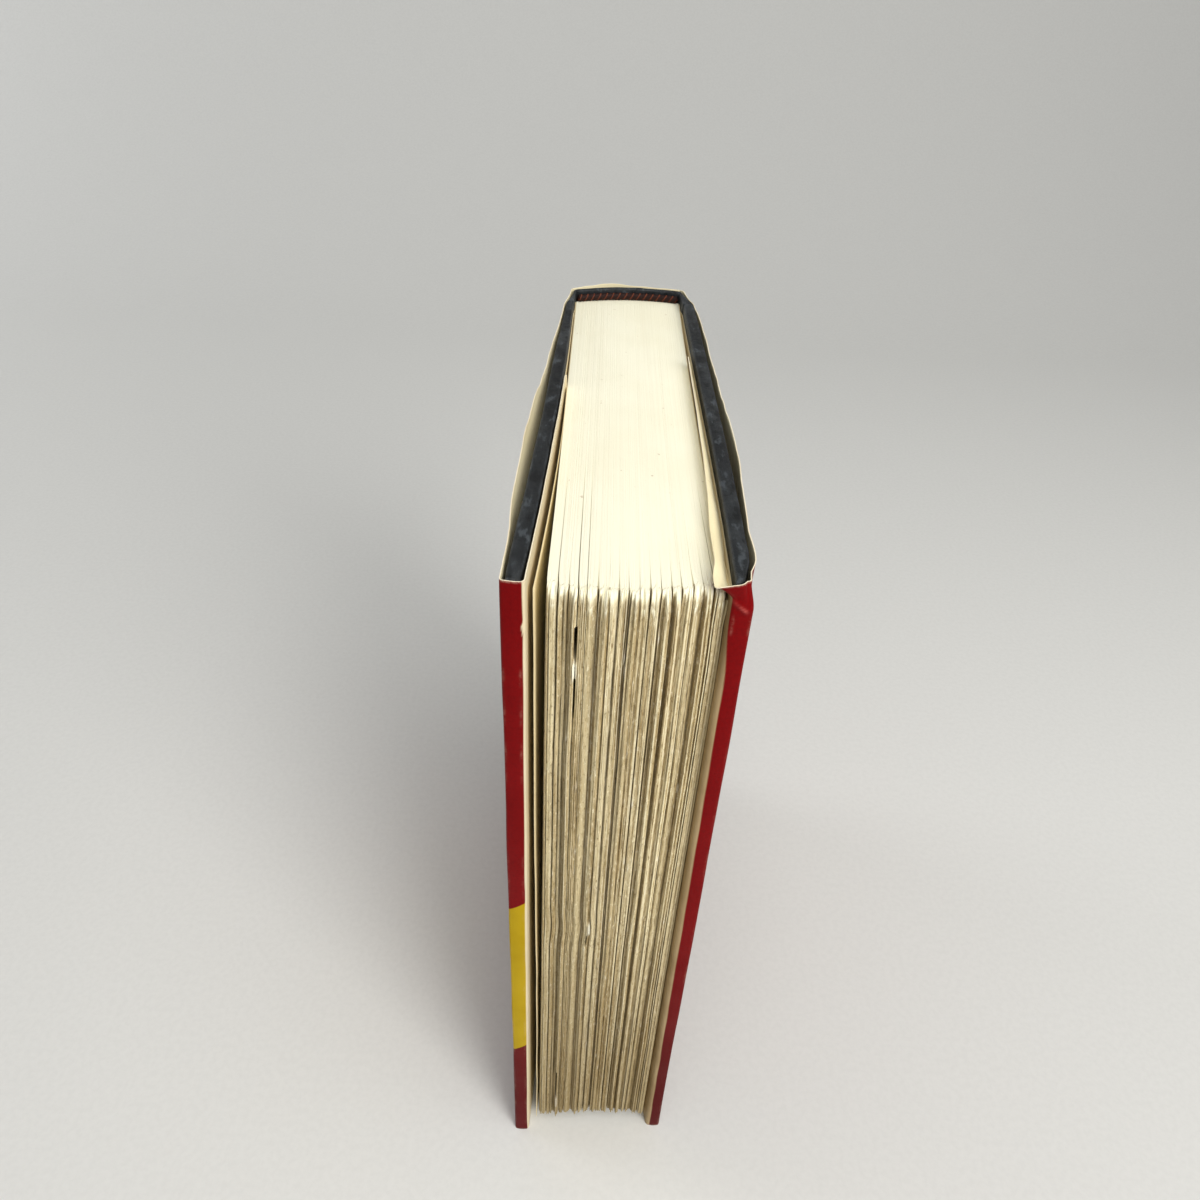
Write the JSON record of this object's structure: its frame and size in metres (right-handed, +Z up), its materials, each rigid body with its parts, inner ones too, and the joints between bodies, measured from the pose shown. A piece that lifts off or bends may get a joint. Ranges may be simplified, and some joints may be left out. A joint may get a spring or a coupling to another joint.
{
  "type": "hardcover book",
  "caption": "Upright hardcover book with dark cloth boards, a bowed red dust jacket and a rough-cut fore-edge; both covers swing open on cloth joints at the spine.",
  "frame": {"origin": "on the surface the book stands on, under the middle of its bounding box", "axes": "+Z up towards the head, +Y towards the spine, -Y the fore-edge, -X the front cover, +X the back cover"},
  "size_m": [0.0474, 0.15, 0.21],
  "materials": {
    "page_paper": "uncoated cream book paper with tan aged edges",
    "endpaper": "uncoated cream endpaper",
    "grey_board": "raw binder's board",
    "case_cloth": "near-black fine woven book cloth",
    "jacket_paper": "red printed coated paper, plain cream inside",
    "band_thread": "dark red stitched thread",
    "gauze": "open starched gauze",
    "liner_paper": "brown kraft paper"
  },
  "bodies": {
    "book_block": {"text_block": "page_paper", "front_free_endpaper": "endpaper", "back_free_endpaper": "endpaper", "spine_mull": "gauze", "spine_liner": "liner_paper", "headband": "band_thread", "tailband": "band_thread", "spine_inlay": "grey_board", "spine_cloth": "case_cloth", "jacket_spine": "jacket_paper"},
    "front_cover": {"front_board": "grey_board", "front_cover_cloth": "case_cloth", "front_pastedown": "endpaper", "jacket_front": "jacket_paper"},
    "back_cover": {"back_board": "grey_board", "back_cover_cloth": "case_cloth", "back_pastedown": "endpaper", "jacket_back": "jacket_paper"}
  },
  "joints": [
    {"name": "front_cover_hinge", "type": "hinge", "parent": "book_block", "child": "front_cover", "pos_m": [-0.01485, 0.06724, 0.105], "axis": [0, 0, -1], "range_deg": [-0.3, 178]},
    {"name": "back_cover_hinge", "type": "hinge", "parent": "book_block", "child": "back_cover", "pos_m": [0.01715, 0.0698, 0.105], "axis": [0, 0, 1], "range_deg": [0, 178]}
  ]
}
